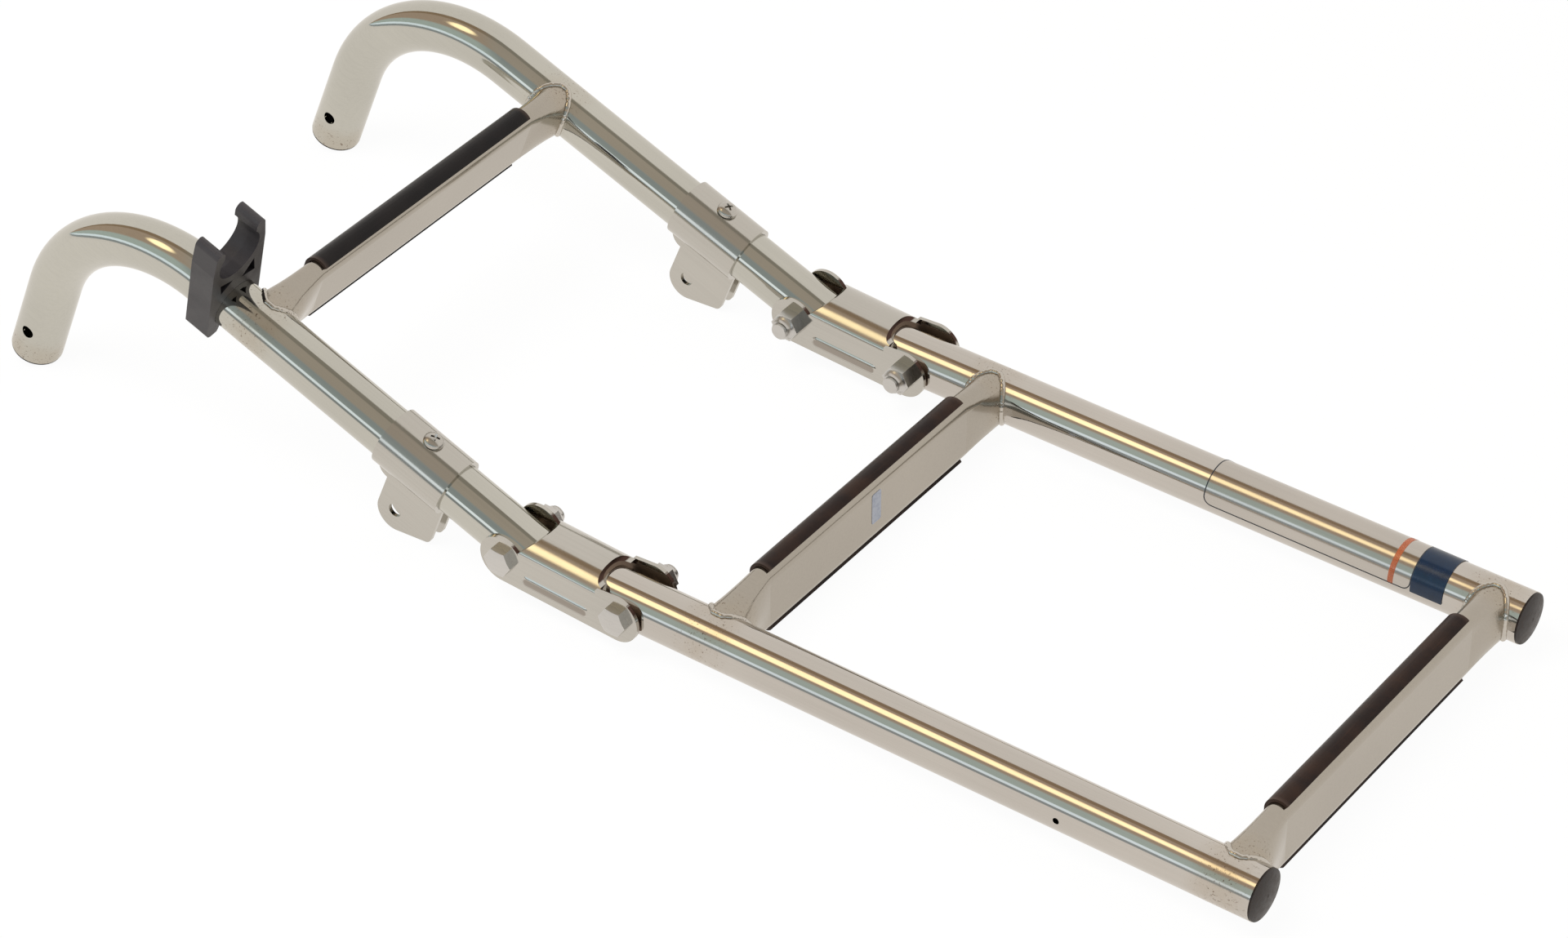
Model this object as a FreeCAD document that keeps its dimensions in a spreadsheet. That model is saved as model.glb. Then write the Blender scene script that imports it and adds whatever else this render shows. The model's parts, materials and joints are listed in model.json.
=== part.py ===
import FreeCAD, Part
import Sketcher
import math
import os

# A folding swim ladder of stainless tube: an upper frame whose rails end in hooks, a lower frame, and two
# double-pivot hinge brackets between them. It lies half folded, the climber's side up, on its hook tips,
# the ears of its stand-off straps and the edges of its two lower rungs. X runs from the hooks to the foot
# end, Y from the climber's left to the right, Z up. The origin is the bottom centre of the whole ladder.

document = FreeCAD.newDocument("swim_ladder")
Vector = FreeCAD.Vector

# Driving dimensions, in millimetres and degrees. A reach is measured along the rails from the frame's own
# hinge pivot, and a drop or a height square to them from the rail's axis.
SIZES = {
    # Tube and the gauge between the rails
    "tube_radius": 12.7,
    "tube_wall": 1.5,
    "rail_spacing": 225.0,
    # Lower rails
    "lower_rail_reach": 330.0,
    "pivot_overhang": 13.0,
    "vent_inset": 96.0,
    "vent_radius": 1.6,
    # Upper rails with their hooks
    "hook_bend_reach": 195.0,
    "hook_bend_radius": 76.2,
    "hook_leg_drop": 122.5,
    "hook_hole_drop": 104.0,
    "hook_hole_radius": 3.3,
    # Rungs: a round tube flattened over its middle
    "middle_rung_reach": 44.0,
    "bottom_rung_inset": 15.4,
    "top_rung_reach": 161.4,
    "rung_thickness": 11.0,
    "rung_depth": 34.0,
    "rung_wall": 1.4,
    "rung_flat_half": 78.0,
    "rung_cope_trim": 2.0,
    # Treads
    "tread_half_length": 76.5,
    "tread_wall": 1.6,
    "tread_clearance": 0.15,
    "tread_lip_angle": 53.0,
    # Hinge brackets
    "pivot_spacing": 65.0,
    "bracket_wall": 2.0,
    "bracket_gap": 0.7,
    "lobe_radius": 12.0,
    "saddle_gap": 0.9,
    "saddle_radius": 20.0,
    "saddle_corner_radius": 4.0,
    "saddle_cut_floor": 6.0,
    "saddle_start": 16.8,
    "saddle_slant": 10.0,
    "notch_reach": 15.0,
    "notch_radius": 4.5,
    "shoulder_reach": 12.0,
    "shoulder_height": 10.5,
    "rib_start": 12.0,
    "rib_end": 50.0,
    "rib_radius": 5.0,
    "rib_rise": 1.0,
    "rib_drop": 5.5,
    # Hinge bolts and lock nuts
    "bolt_radius": 4.0,
    "bolt_head_radius": 6.5,
    "bolt_head_height": 4.6,
    "head_dome_rim": 7.9,
    "head_dome_drop": 1.6,
    "bolt_clearance": 0.08,
    "nut_height": 6.5,
    "nut_dome_height": 3.0,
    "nut_dome_radius": 4.0,
    "nut_dome_foot": 6.2,
    "nut_dome_top": 4.8,
    "nut_clearance": 0.05,
    "bolt_end": 1.5,
    # Stand-off straps
    "strap_reach": 59.3,
    "strap_width": 39.0,
    "strap_wall": 2.0,
    "strap_clearance": 0.1,
    "strap_corner_drop": 13.0,
    "ear_half_gap": 3.4,
    "ear_drop": 47.0,
    "ear_hook_reach": 71.8,
    "ear_corner_radius": 10.0,
    "ear_bottom_angle": 25.0,
    "ear_heel_radius": 4.0,
    "ear_hole_reach": 62.0,
    "ear_hole_drop": 35.5,
    "ear_hole_radius": 3.5,
    # Strap screws
    "screw_reach": 59.0,
    "screw_radius": 2.4,
    "screw_head_radius": 5.0,
    "screw_head_height": 2.6,
    "screw_rim_height": 0.9,
    "screw_length": 6.0,
    "screw_clearance": 0.1,
    # Stowage clip
    "clip_reach": 185.0,
    "clip_width": 13.5,
    "clip_half_breadth": 17.2,
    "clip_clearance": 0.1,
    "clip_lean": 13.0,
    "jaw_height": 41.0,
    "jaw_clearance": 0.5,
    "prong_height": 56.4,
    "prong_shoulder_drop": 3.0,
    "prong_taper": 1.2,
    "prong_crown_inset": 4.2,
    "prong_outer_radius": 3.2,
    "prong_inner_radius": 3.6,
    "prong_lip_drop": 3.5,
    "prong_lip_half_gap": 10.4,
    "clip_foot_drop": 14.5,
    "clip_foot_radius": 3.5,
    "clip_mouth_flare": 2.2,
    "clip_mouth_half_gap": 8.2,
    "clip_pocket_depth": 3.0,
    # Plugs in the tube ends
    "cap_thickness": 2.2,
    "cap_crown": 1.4,
    "cap_radius": 12.4,
    "cap_plug_length": 9.0,
    "plug_rim": 1.0,
    "plug_clearance": 0.1,
    # How far a cutting shape stands past what it cuts
    "cut_margin": 2.0,
}

sheet = document.addObject("Spreadsheet::Sheet", "Sizes")
for row, (name, number) in enumerate(SIZES.items(), start=1):
    sheet.set(f"A{row}", name)
    sheet.set(f"B{row}", str(number))
    sheet.setAlias(f"B{row}", name)
document.recompute()


def formula(text):
    """Turn bare alias names into references to the sheet."""
    words = sorted(SIZES, key=len, reverse=True)
    for number, word in enumerate(words):
        text = text.replace(word, f"@{number}@")
    for number, word in enumerate(words):
        text = text.replace(f"@{number}@", f"Sizes.{word}")
    return text


def value(text):
    """The number that a formula on the sheet's sizes gives now."""
    return float(sheet.evalExpression(formula(str(text))))


# Sketches and features

def new_body(label):
    body = document.addObject("PartDesign::Body", label)
    body.Label = label
    return body


def new_sketch(body, name, role, offset="0"):
    """A sketch on one of the body's own origin planes, moved along its normal by a formula."""
    sketch = body.newObject("Sketcher::SketchObject", name)
    plane = [item for item in body.Origin.OriginFeatures if item.Role == role][0]
    sketch.AttachmentSupport = [(plane, "")]
    sketch.MapMode = "FlatFace"
    sketch.setExpression("AttachmentOffset.Base.z", formula(offset))
    return sketch


def bind(sketch, kind, *ends, size):
    """A dimension of the sketch, driven by a formula."""
    index = sketch.addConstraint(Sketcher.Constraint(kind, *ends, value(size)))
    sketch.setExpression(f"Constraints[{index}]", formula(size))


def fix_point(sketch, edge, end, across, along):
    bind(sketch, "DistanceX", -1, 1, edge, end, size=across)
    bind(sketch, "DistanceY", -1, 1, edge, end, size=along)


def add_circle(sketch, across, along, radius):
    circle = Part.Circle(Vector(value(across), value(along), 0), Vector(0, 0, 1), value(radius))
    edge = sketch.addGeometry(circle)
    fix_point(sketch, edge, 3, across, along)
    bind(sketch, "Radius", edge, size=radius)


def arc_between(start, end, radius, turn):
    """The short arc from start to end; turn is 1 where it runs counter-clockwise and -1 otherwise."""
    chord = end - start
    height = math.sqrt(max(radius ** 2 - chord.Length ** 2 / 4, 0.0))
    normal = Vector(-chord.y, chord.x, 0).normalize()
    centre = (start + end) / 2 + normal * height * turn
    first, last = (start, end) if turn > 0 else (end, start)
    angles = [math.atan2(point.y - centre.y, point.x - centre.x) for point in (first, last)]
    return Part.ArcOfCircle(Part.Circle(centre, Vector(0, 0, 1), radius), *angles)


def add_path(sketch, corners, closed=True):
    """Edges through the corners. A corner is (across, along), or (across, along, radius, turn) where an
    arc of that radius arrives at it."""
    points = [Vector(value(corner[0]), value(corner[1]), 0) for corner in corners]
    ends = []
    for index, corner in enumerate(corners):
        if index == 0 and not closed:
            continue
        start, end = points[index - 1], points[index]
        if len(corner) == 4:
            edge = sketch.addGeometry(arc_between(start, end, value(corner[2]), corner[3]))
            ends.append((edge, 1, 2) if corner[3] > 0 else (edge, 2, 1))
        else:
            edge = sketch.addGeometry(Part.LineSegment(start, end))
            ends.append((edge, 1, 2))
    joints = len(ends) if closed else len(ends) - 1
    for index in range(joints):
        edge, _, end = ends[index]
        following, start, _ = ends[(index + 1) % len(ends)]
        sketch.addConstraint(Sketcher.Constraint("Coincident", edge, end, following, start))
    placed = corners if closed else corners[1:]
    for (edge, start, end), corner in zip(ends, placed):
        fix_point(sketch, edge, end, corner[0], corner[1])
        if len(corner) == 4:
            bind(sketch, "Radius", edge, size=corner[2])
    if not closed:
        fix_point(sketch, ends[0][0], ends[0][1], corners[0][0], corners[0][1])


def extrude(body, kind, name, sketch, length, side="One side"):
    feature = body.newObject(f"PartDesign::{kind}", name)
    feature.Profile = sketch
    feature.SideType = side
    feature.setExpression("Length", formula(length))
    return feature


def revolve(body, kind, name, sketch, axis="V_Axis"):
    feature = body.newObject(f"PartDesign::{kind}", name)
    feature.Profile = sketch
    feature.ReferenceAxis = (sketch, [axis])
    feature.Angle = 360
    return feature


def cross_hole(body, name, across, along, radius):
    """A hole through both walls of a tube, along Y."""
    sketch = new_sketch(body, f"{name}_sketch", "XZ_Plane")
    add_circle(sketch, across, along, radius)
    return extrude(body, "Pocket", name, sketch, "4 * tube_radius", "Symmetric")


# Rails

BOLT_HOLE = "bolt_radius + bolt_clearance"


def lower_rail(label):
    """Straight tube, drilled for the hinge bolt and for a drain on its outer side."""
    body = new_body(label)
    section = new_sketch(body, "section", "YZ_Plane", "-pivot_overhang")
    add_circle(section, "0", "0", "tube_radius")
    add_circle(section, "0", "0", "tube_radius - tube_wall")
    extrude(body, "Pad", "tube", section, "pivot_overhang + lower_rail_reach")
    cross_hole(body, "bolt_hole", "0", "0", BOLT_HOLE)
    vent = new_sketch(body, "vent_sketch", "XZ_Plane", "tube_radius + 1")
    add_circle(vent, "lower_rail_reach - vent_inset", "0", "vent_radius")
    extrude(body, "Pocket", "vent", vent, "tube_radius")
    return body


def upper_rail(label):
    """Tube bent down into a hook, drilled for the hinge bolt, the strap's screw and the hook's pin."""
    body = new_body(label)
    route = new_sketch(body, "route", "XZ_Plane")
    add_path(route, [
        ("pivot_overhang", "0"),
        ("-hook_bend_reach", "0"),
        ("-hook_bend_reach - hook_bend_radius", "-hook_bend_radius", "hook_bend_radius", 1),
        ("-hook_bend_reach - hook_bend_radius", "-hook_leg_drop"),
    ], closed=False)
    section = new_sketch(body, "section", "YZ_Plane", "pivot_overhang")
    add_circle(section, "0", "0", "tube_radius")
    add_circle(section, "0", "0", "tube_radius - tube_wall")
    pipe = body.newObject("PartDesign::AdditivePipe", "tube")
    pipe.Profile = section
    pipe.Spine = (route, [])
    cross_hole(body, "bolt_hole", "0", "0", BOLT_HOLE)
    cross_hole(body, "hook_hole", "-hook_bend_reach - hook_bend_radius", "-hook_hole_drop",
               "hook_hole_radius")
    screw_hole = new_sketch(body, "screw_hole_sketch", "XY_Plane", "tube_radius + 1")
    add_circle(screw_hole, "-screw_reach", "0", "screw_radius + screw_clearance")
    extrude(body, "Pocket", "screw_hole", screw_hole, "tube_radius")
    return body


# Rungs and treads

RUNG_END = "rail_spacing / 2 - rung_cope_trim"


def rung_section(sketch, flat, inset):
    """The rung's section, round or flattened, with its six corners matched for a loft."""
    end_radius = f"(rung_thickness / 2 - {inset})"
    tube = f"(tube_radius - {inset})"
    half_straight = "(rung_depth / 2 - rung_thickness / 2)"
    corner = "(45 * rung_thickness / tube_radius)"
    side, rise, top = f"{tube} * sin({corner})", f"{tube} * cos({corner})", tube
    edge_radius, cap_radius = tube, tube
    if flat:
        side, rise, top = end_radius, half_straight, f"({half_straight} + {end_radius})"
        edge_radius, cap_radius = None, end_radius

    def edge(across, along):
        return (across, along, edge_radius, 1) if edge_radius else (across, along)

    add_path(sketch, [
        edge(side, rise),
        ("0", top, cap_radius, 1),
        (f"-{side}", rise, cap_radius, 1),
        edge(f"-{side}", f"-{rise}"),
        ("0", f"-{top}", cap_radius, 1),
        (side, f"-{rise}", cap_radius, 1),
    ])


def rung(label):
    """Round tube, flattened over its middle and coped at both ends to the rails it is welded to."""
    body = new_body(label)
    for name, kind, inset, beyond in (("outside", "AdditiveLoft", "0", "0"),
                                      ("inside", "SubtractiveLoft", "rung_wall", "1")):
        stations = [(f"-({RUNG_END} + {beyond})", False), ("-rung_flat_half", True),
                    ("rung_flat_half", True), (f"{RUNG_END} + {beyond}", False)]
        sections = []
        for index, (place, flat) in enumerate(stations):
            sketch = new_sketch(body, f"{name}_{index}", "XZ_Plane", place)
            rung_section(sketch, flat, inset)
            sections.append(sketch)
        loft = body.newObject(f"PartDesign::{kind}", name)
        loft.Profile = sections[0]
        loft.Sections = sections[1:]
        loft.Ruled = True
    for index, place in enumerate(("-rail_spacing / 2", "rail_spacing / 2")):
        cope = new_sketch(body, f"cope_sketch_{index}", "YZ_Plane")
        add_circle(cope, place, "0", "tube_radius")
        extrude(body, "Pocket", f"cope_{index}", cope, "4 * tube_radius", "Symmetric")
    return body


def tread(label):
    """Ribbed cover pressed over the flat of the rung that faces the hooks, its lips round both edges."""
    body = new_body(label)
    inner = "(rung_thickness / 2 + tread_clearance)"
    outer = "(rung_thickness / 2 + tread_clearance + tread_wall)"
    centre = "(rung_depth / 2 - rung_thickness / 2)"
    profile = new_sketch(body, "profile", "XZ_Plane")

    def lip(radius, sign):
        return f"{radius} * cos(tread_lip_angle)", f"{sign}({centre} + {radius} * sin(tread_lip_angle))"

    add_path(profile, [
        lip(outer, ""),
        ("0", f"{centre} + {outer}", outer, 1),
        (f"-{outer}", centre, outer, 1),
        (f"-{outer}", f"-{centre}"),
        ("0", f"-({centre} + {outer})", outer, 1),
        (*lip(outer, "-"), outer, 1),
        lip(inner, "-"),
        ("0", f"-({centre} + {inner})", inner, -1),
        (f"-{inner}", f"-{centre}", inner, -1),
        (f"-{inner}", centre),
        ("0", f"{centre} + {inner}", inner, -1),
        (*lip(inner, ""), inner, -1),
    ])
    extrude(body, "Pad", "cover", profile, "2 * tread_half_length", "Symmetric")
    return body


# Hinge brackets with their bolts and nuts

BRACKET_OUTER = "(tube_radius + bracket_gap + bracket_wall)"


def hinge_bracket(label):
    """Stamped channel that straddles both tubes: an arched saddle over two flat cheeks with round ends. The
    saddle stops short of both bolts, slanted at the hooks' end and notched at the foot's, so that either
    tube can fold up, and a bead is pressed in each cheek."""
    body = new_body(label)
    crest = "(tube_radius + saddle_gap + bracket_wall)"
    arch_centre = f"({crest} - saddle_radius)"
    corner_across = f"({BRACKET_OUTER} - saddle_corner_radius)"
    corner_span = "(saddle_radius - saddle_corner_radius)"
    corner_rise = f"sqrt({corner_span} ^ 2 - {corner_across} ^ 2)"
    corner_height = f"({arch_centre} + {corner_rise})"

    def arch(wall):
        """The flat, corner radius, arch radius and the point where they meet, this far into the sheet."""
        radius = f"(saddle_radius - {wall})"
        across = f"({corner_across} * {radius} / {corner_span})"
        height = f"{arch_centre} + {corner_rise} * {radius} / {corner_span}"
        return f"({BRACKET_OUTER} - {wall})", f"(saddle_corner_radius - {wall})", radius, across, height

    flat, corner, radius, across, height = arch("0")
    inner_flat, inner_corner, inner_radius, inner_across, inner_height = arch("bracket_wall")
    profile = new_sketch(body, "channel_profile", "YZ_Plane")
    add_path(profile, [
        (flat, "-lobe_radius"),
        (flat, corner_height),
        (across, height, corner, 1),
        ("0", crest, radius, 1),
        (f"-{across}", height, radius, 1),
        (f"-{flat}", corner_height, corner, 1),
        (f"-{flat}", "-lobe_radius"),
        (f"-{inner_flat}", "-lobe_radius"),
        (f"-{inner_flat}", corner_height),
        (f"-{inner_across}", inner_height, inner_corner, -1),
        ("0", f"{crest} - bracket_wall", inner_radius, -1),
        (inner_across, inner_height, inner_radius, -1),
        (inner_flat, corner_height, inner_corner, -1),
        (inner_flat, "-lobe_radius"),
    ])
    extrude(body, "Pad", "channel", profile, "pivot_spacing")
    top = f"{crest} + cut_margin"
    cut = new_sketch(body, "saddle_ends_sketch", "XZ_Plane")
    add_path(cut, [
        ("-cut_margin", "saddle_cut_floor"),
        ("saddle_start - saddle_slant", "saddle_cut_floor"),
        ("saddle_start", crest),
        ("saddle_start", top),
        ("-cut_margin", top),
    ])
    add_path(cut, [
        ("pivot_spacing + cut_margin", "saddle_cut_floor"),
        ("pivot_spacing + cut_margin", top),
        ("pivot_spacing - notch_reach", top),
        ("pivot_spacing - notch_reach", crest),
        ("pivot_spacing - notch_reach + notch_radius", f"{crest} - notch_radius", "notch_radius", 1),
        ("pivot_spacing - notch_reach + notch_radius", "saddle_cut_floor"),
    ])
    extrude(body, "Pocket", "saddle_ends", cut, "4 * tube_radius", "Symmetric")
    for side, sign in (("left", ""), ("right", "-")):
        lobes = new_sketch(body, f"{side}_lobes_sketch", "XZ_Plane", f"{sign}{BRACKET_OUTER}")
        add_circle(lobes, "0", "0", "lobe_radius")
        add_path(lobes, [
            ("pivot_spacing", "-lobe_radius"),
            ("pivot_spacing + lobe_radius", "0", "lobe_radius", 1),
            ("pivot_spacing", "lobe_radius", "lobe_radius", 1),
            ("pivot_spacing - shoulder_reach", "shoulder_height"),
            ("pivot_spacing - shoulder_reach", "-lobe_radius"),
        ])
        pad = extrude(body, "Pad", f"{side}_lobes", lobes, "bracket_wall")
        pad.Reversed = side == "left"
        bead = new_sketch(body, f"{side}_bead_sketch", "XZ_Plane",
                          f"{sign}({BRACKET_OUTER} + rib_rise - rib_radius)")
        bead.setExpression("AttachmentOffset.Base.y", formula("-rib_drop"))
        reach = "sqrt(rib_radius ^ 2 - (rib_radius - rib_rise) ^ 2)"
        add_path(bead, [
            (f"rib_start + {reach} - rib_radius", "0", "rib_radius", 1),
            (f"rib_end - {reach} + rib_radius", "0"),
            (f"rib_end - {reach}", "rib_radius", "rib_radius", 1),
            (f"rib_start + {reach}", "rib_radius"),
        ])
        revolve(body, "Revolution", f"{side}_bead", bead, "H_Axis")
    inside = new_sketch(body, "bead_trim_sketch", "YZ_Plane")
    add_path(inside, [
        (inner_flat, "-lobe_radius"),
        (inner_flat, "0"),
        (f"-{inner_flat}", "0"),
        (f"-{inner_flat}", "-lobe_radius"),
    ])
    extrude(body, "Pocket", "bead_trim", inside, "pivot_spacing").Reversed = True
    for name, pivot in (("upper", "0"), ("lower", "pivot_spacing")):
        cross_hole(body, f"{name}_bolt_hole", pivot, "0", BOLT_HOLE)
    return body


def hexagon(sketch, radius):
    """A hexagon with this distance from its centre to a flat, two flats level."""
    corners = []
    for step in range(6):
        angle = 60 * step
        corners.append((f"{radius} / cos(30) * cos({angle})", f"{radius} / cos(30) * sin({angle})"))
    add_path(sketch, corners)


def dome_radius(rim_radius, rise):
    """The radius of a dome with this rim and rise, so that its centre lies on the axis."""
    return f"(({rim_radius} ^ 2 + {rise} ^ 2) / (2 * {rise}))"


def hinge_bolt(label):
    """Hexagon bolt along Y, its domed head against the outer cheek on the -Y side."""
    body = new_body(label)
    head = new_sketch(body, "head_sketch", "XZ_Plane", BRACKET_OUTER)
    hexagon(head, "bolt_head_radius")
    extrude(body, "Pad", "head", head, "bolt_head_height")
    dome = new_sketch(body, "dome_sketch", "YZ_Plane")
    top = f"-({BRACKET_OUTER} + bolt_head_height)"
    add_path(dome, [
        (top, "0"),
        (f"{top} + head_dome_drop", "head_dome_rim", dome_radius("head_dome_rim", "head_dome_drop"), -1),
        (f"{top} - cut_margin", "head_dome_rim"),
        (f"{top} - cut_margin", "0"),
    ])
    revolve(body, "Groove", "dome", dome, "H_Axis")
    shank = new_sketch(body, "shank_sketch", "XZ_Plane", BRACKET_OUTER)
    add_circle(shank, "0", "0", "bolt_radius")
    length = f"2 * {BRACKET_OUTER} + nut_height + nut_dome_height + bolt_end"
    extrude(body, "Pad", "shank", shank, length).Reversed = True
    return body


def lock_nut(label):
    """Hexagon lock nut along Y with a domed collar, against the cheek on the +Y side."""
    body = new_body(label)
    nut = new_sketch(body, "nut_sketch", "XZ_Plane", f"-{BRACKET_OUTER}")
    hexagon(nut, "bolt_head_radius")
    extrude(body, "Pad", "nut", nut, "nut_height").Reversed = True
    collar = new_sketch(body, "collar_sketch", "YZ_Plane")
    base = f"({BRACKET_OUTER} + nut_height)"
    add_path(collar, [
        (f"{base} + nut_dome_height", "bolt_radius / 2"),
        (f"{base} + nut_dome_height", "nut_dome_top"),
        (base, "nut_dome_foot", "nut_dome_radius", -1),
        (f"{base} - cut_margin", "nut_dome_foot"),
        (f"{base} - cut_margin", "bolt_radius / 2"),
    ])
    revolve(body, "Revolution", "collar", collar, "H_Axis")
    thread = new_sketch(body, "thread_sketch", "XZ_Plane", f"-{BRACKET_OUTER} + cut_margin")
    add_circle(thread, "0", "0", "bolt_radius + nut_clearance")
    extrude(body, "Pocket", "thread", thread, "nut_height + nut_dome_height + 2 * cut_margin")
    return body


# Fittings on the upper rails

def standoff_strap(label):
    """Sheet strap wrapped over the rail. Its legs close in below and run on as two ears with a pin hole."""
    body = new_body(label)
    inner = "(tube_radius + strap_clearance)"
    outer = "(tube_radius + strap_clearance + strap_wall)"
    gap = "ear_half_gap"
    leg = "(ear_half_gap + strap_wall)"
    profile = new_sketch(body, "profile", "YZ_Plane", "-strap_reach - strap_width / 2")
    low_outer = f"sqrt({outer} ^ 2 - {leg} ^ 2)"
    low_inner = f"sqrt({inner} ^ 2 - {gap} ^ 2)"
    add_path(profile, [
        (leg, "-ear_drop"),
        (leg, f"-{low_outer}"),
        (outer, "0", outer, 1),
        ("0", outer, outer, 1),
        (f"-{outer}", "0", outer, 1),
        (f"-{leg}", f"-{low_outer}", outer, 1),
        (f"-{leg}", "-ear_drop"),
        (f"-{gap}", "-ear_drop"),
        (f"-{gap}", f"-{low_inner}"),
        (f"-{inner}", "0", inner, -1),
        ("0", inner, inner, -1),
        (inner, "0", inner, -1),
        (gap, f"-{low_inner}", inner, -1),
        (gap, "-ear_drop"),
    ])
    extrude(body, "Pad", "strap", profile, "strap_width")
    trim = new_sketch(body, "ear_outline", "XZ_Plane")
    hook_edge = "(-strap_reach - strap_width / 2)"
    hinge_edge = "(-strap_reach + strap_width / 2)"
    shoulder_radius = f"(-ear_hook_reach - {hook_edge})"
    turned_across = "(-ear_hook_reach + ear_corner_radius + ear_corner_radius * sin(ear_bottom_angle))"
    turned_height = "(-ear_drop + ear_corner_radius - ear_corner_radius * cos(ear_bottom_angle))"
    heel_height = f"({turned_height} + ({hinge_edge} - {turned_across}) * tan(ear_bottom_angle))"
    heel_setback = "(ear_heel_radius * tan(45 - ear_bottom_angle / 2))"
    add_path(trim, [
        (hook_edge, "-strap_corner_drop"),
        ("-ear_hook_reach", f"-strap_corner_drop - {shoulder_radius}", shoulder_radius, 1),
        ("-ear_hook_reach", "-ear_drop + ear_corner_radius"),
        (turned_across, turned_height, "ear_corner_radius", 1),
        (f"{hinge_edge} - {heel_setback} * cos(ear_bottom_angle)",
         f"{heel_height} - {heel_setback} * sin(ear_bottom_angle)"),
        (hinge_edge, f"{heel_height} + {heel_setback}", "ear_heel_radius", 1),
        (f"{hinge_edge} + cut_margin", f"{heel_height} + {heel_setback}"),
        (f"{hinge_edge} + cut_margin", "-ear_drop - cut_margin"),
        (f"{hook_edge} - cut_margin", "-ear_drop - cut_margin"),
        (f"{hook_edge} - cut_margin", "-strap_corner_drop"),
    ])
    extrude(body, "Pocket", "ear_trim", trim, "4 * tube_radius", "Symmetric")
    cross_hole(body, "ear_hole", "-ear_hole_reach", "-ear_hole_drop", "ear_hole_radius")
    screw_hole = new_sketch(body, "screw_hole_sketch", "XY_Plane", f"{outer} + 1")
    add_circle(screw_hole, "-screw_reach", "0", "screw_radius + screw_clearance")
    extrude(body, "Pocket", "screw_hole", screw_hole, "tube_radius")
    return body


def strap_screw(label):
    """Pan-head screw through the strap into the rail's top wall."""
    body = new_body(label)
    seat = "(tube_radius + strap_clearance + strap_wall)"
    rim = "screw_rim_height"
    dome = "(screw_head_height - screw_rim_height)"
    profile = new_sketch(body, "profile", "XZ_Plane")
    add_path(profile, [
        ("0", f"{seat} - screw_length"),
        ("screw_radius", f"{seat} - screw_length"),
        ("screw_radius", seat),
        ("screw_head_radius", seat),
        ("screw_head_radius", f"{seat} + {rim}"),
        ("0", f"{seat} + screw_head_height", dome_radius("screw_head_radius", dome), 1),
    ])
    revolve(body, "Revolution", "screw", profile)
    return body


def find_stow_dip():
    """How far past flat the two equal folds go, in degrees, to lay the lower rail in the clip's jaw."""
    dip = 0.0
    for _ in range(30):
        rise = value("pivot_spacing") * math.cos(dip / 2) - value("jaw_height")
        run = value("clip_reach") - value("pivot_spacing") * math.sin(dip / 2)
        dip = math.atan2(rise, run)
    return math.degrees(dip)


stow_dip = find_stow_dip()

# The corners of the two three-sided pockets in each face of the clip.
CLIP_POCKETS = [
    [("11.2", "26.3"), ("3.5", "18.4"), ("12.4", "15.4")],
    [("-11.3", "26.6"), ("-10.4", "18.6"), ("-2.8", "22.6")],
]


def stowage_clip(label):
    """Moulded clip: a saddle that snaps over the upper rail from above and a jaw over it for the lower
    rail of the folded ladder, with a pair of blind pockets in each face."""
    body = new_body(label)
    saddle = "(tube_radius + clip_clearance)"
    jaw = "(tube_radius + jaw_clearance)"
    mouth = "clip_mouth_half_gap"
    mouth_drop = f"sqrt({saddle} ^ 2 - {mouth} ^ 2)"
    lip_rise = f"sqrt({jaw} ^ 2 - prong_lip_half_gap ^ 2)"
    side = "clip_half_breadth"
    shoulder = "prong_height - prong_shoulder_drop"
    lip = "prong_height - prong_lip_drop"
    foot = "-clip_foot_drop + clip_foot_radius"
    profile = new_sketch(body, "profile", "YZ_Plane")
    add_path(profile, [
        (mouth, f"-{mouth_drop}", saddle, -1),
        ("clip_mouth_half_gap + clip_mouth_flare", "-clip_foot_drop"),
        (f"{side} - clip_foot_radius", "-clip_foot_drop"),
        (side, foot, "clip_foot_radius", 1),
        (side, "jaw_height"),
        (f"{side} - prong_taper", shoulder),
        (f"{side} - prong_crown_inset", "prong_height", "prong_outer_radius", 1),
        ("prong_lip_half_gap", lip, "prong_inner_radius", 1),
        ("prong_lip_half_gap", f"jaw_height + {lip_rise}"),
        (jaw, "jaw_height", jaw, -1),
        ("0", f"jaw_height - {jaw}", jaw, -1),
        (f"-{jaw}", "jaw_height", jaw, -1),
        ("-prong_lip_half_gap", f"jaw_height + {lip_rise}", jaw, -1),
        ("-prong_lip_half_gap", lip),
        (f"-{side} + prong_crown_inset", "prong_height", "prong_inner_radius", 1),
        (f"-{side} + prong_taper", shoulder, "prong_outer_radius", 1),
        (f"-{side}", "jaw_height"),
        (f"-{side}", foot),
        (f"-{side} + clip_foot_radius", "-clip_foot_drop", "clip_foot_radius", 1),
        ("-clip_mouth_half_gap - clip_mouth_flare", "-clip_foot_drop"),
        (f"-{mouth}", f"-{mouth_drop}"),
        (f"-{saddle}", "0", saddle, -1),
        ("0", saddle, saddle, -1),
        (saddle, "0", saddle, -1),
    ])
    extrude(body, "Pad", "clip", profile, "clip_width", "Symmetric")
    bore = new_sketch(body, "bore_sketch", "YZ_Plane")
    bore.AttachmentOffset = FreeCAD.Placement(Vector(), FreeCAD.Rotation(Vector(1, 0, 0), -stow_dip))
    add_circle(bore, "0", f"jaw_height * cos({stow_dip})", jaw)
    extrude(body, "Pocket", "jaw_bore", bore, "4 * tube_radius", "Symmetric")
    for name, sign in (("foot", ""), ("hook", "-")):
        pockets = new_sketch(body, f"{name}_pockets_sketch", "YZ_Plane", f"{sign}clip_width / 2")
        for corners in CLIP_POCKETS:
            add_path(pockets, corners)
        cut = extrude(body, "Pocket", f"{name}_pockets", pockets, "clip_pocket_depth")
        cut.Reversed = name == "hook"
    return body


# Plugs in the open tube ends

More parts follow.
